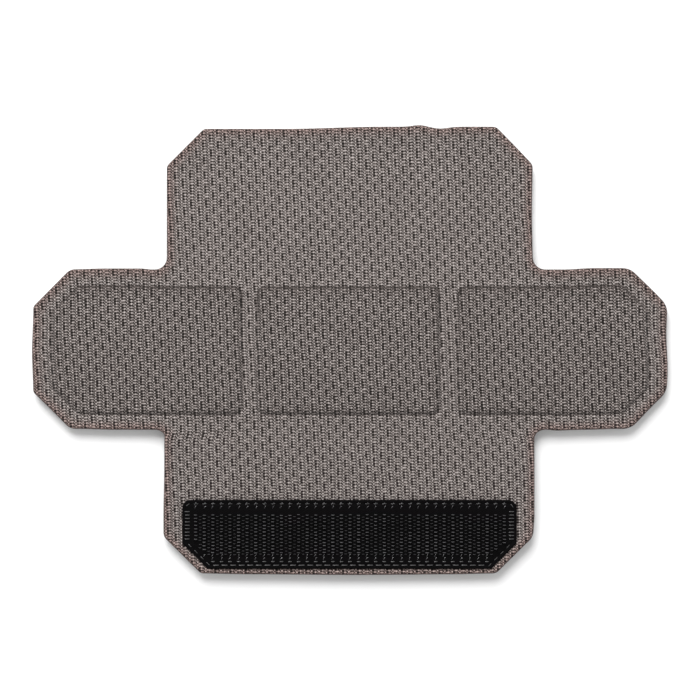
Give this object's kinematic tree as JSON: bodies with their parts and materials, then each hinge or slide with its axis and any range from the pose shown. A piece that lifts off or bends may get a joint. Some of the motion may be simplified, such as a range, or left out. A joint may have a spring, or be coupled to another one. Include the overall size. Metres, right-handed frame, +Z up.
{
  "type": "back protector",
  "caption": "Soft cross-shaped back pad that wraps round a strap: open knit face over raised foam cushions, loop lining, and a hook tape strip that closes one flap over the other.",
  "frame": {"origin": "middle of the whole outline, on the underside of the lining, where the pad lies on a surface", "axes": "+Z up out of the knit face, +X along the band of cushions, +Y from the hook-tape flap to the plain flap"},
  "size_m": [0.2328, 0.1634, 0.0059],
  "materials": {
    "knit_face": "open warp knit, taupe grey, matte",
    "pad_foam": "closed-cell foam, matte",
    "loop_lining": "brushed loop fabric, matte",
    "hook_tape": "black nylon hook tape, slight gloss on the hooks",
    "seam_thread": "black polyester thread"
  },
  "bodies": {
    "centre": {"lining_centre": "loop_lining", "foam_centre": "pad_foam", "face_centre": "knit_face", "cushion_left": "pad_foam", "cushion_middle": "pad_foam", "cushion_right": "pad_foam"},
    "upper_fold": {"lining_upper_fold": "loop_lining", "foam_upper_fold": "pad_foam", "face_upper_fold": "knit_face"},
    "upper_flap": {"lining_upper_flap": "loop_lining", "foam_upper_flap": "pad_foam", "face_upper_flap": "knit_face"},
    "lower_fold": {"lining_lower_fold": "loop_lining", "foam_lower_fold": "pad_foam", "face_lower_fold": "knit_face"},
    "lower_flap": {"lining_lower_flap": "loop_lining", "foam_lower_flap": "pad_foam", "face_lower_flap": "knit_face", "hook_tape": "hook_tape", "needle_thread": "seam_thread", "bobbin_thread": "seam_thread"},
    "left_wing": {"lining_left_wing": "loop_lining", "foam_left_wing": "pad_foam", "face_left_wing": "knit_face", "cushion_left_wing": "pad_foam"},
    "right_wing": {"lining_right_wing": "loop_lining", "foam_right_wing": "pad_foam", "face_right_wing": "knit_face", "cushion_right_wing": "pad_foam"}
  },
  "joints": [
    {"name": "upper_flap_fold", "type": "hinge", "parent": "centre", "child": "upper_fold", "pos_m": [0, 0.0323, 0.0037], "axis": [1, 0, 0], "range_deg": [0, 90], "stiffness_Nm_per_rad": 0.001},
    {"name": "upper_flap_turn", "type": "hinge", "parent": "upper_fold", "child": "upper_flap", "pos_m": [0, 0.0367, 0.0037], "axis": [1, 0, 0], "range_deg": [0, 90]},
    {"name": "lower_flap_fold", "type": "hinge", "parent": "centre", "child": "lower_fold", "pos_m": [0, -0.0327, 0.0037], "axis": [-1, 0, 0], "range_deg": [0, 90], "stiffness_Nm_per_rad": 0.001},
    {"name": "lower_flap_turn", "type": "hinge", "parent": "lower_fold", "child": "lower_flap", "pos_m": [0, -0.0433, 0.0037], "axis": [-1, 0, 0], "range_deg": [0, 90]},
    {"name": "left_wing_bend", "type": "hinge", "parent": "centre", "child": "left_wing", "pos_m": [-0.084, 0.0007, 0.0056], "axis": [0, 1, 0], "range_deg": [0, 60], "stiffness_Nm_per_rad": 0.002},
    {"name": "right_wing_bend", "type": "hinge", "parent": "centre", "child": "right_wing", "pos_m": [0.084, 0.0007, 0.0056], "axis": [0, -1, 0], "range_deg": [0, 60], "stiffness_Nm_per_rad": 0.002}
  ],
  "couplings": [
    {"joint": "upper_flap_turn", "follows": "upper_flap_fold", "ratio": 1},
    {"joint": "lower_flap_turn", "follows": "lower_flap_fold", "ratio": 1}
  ]
}
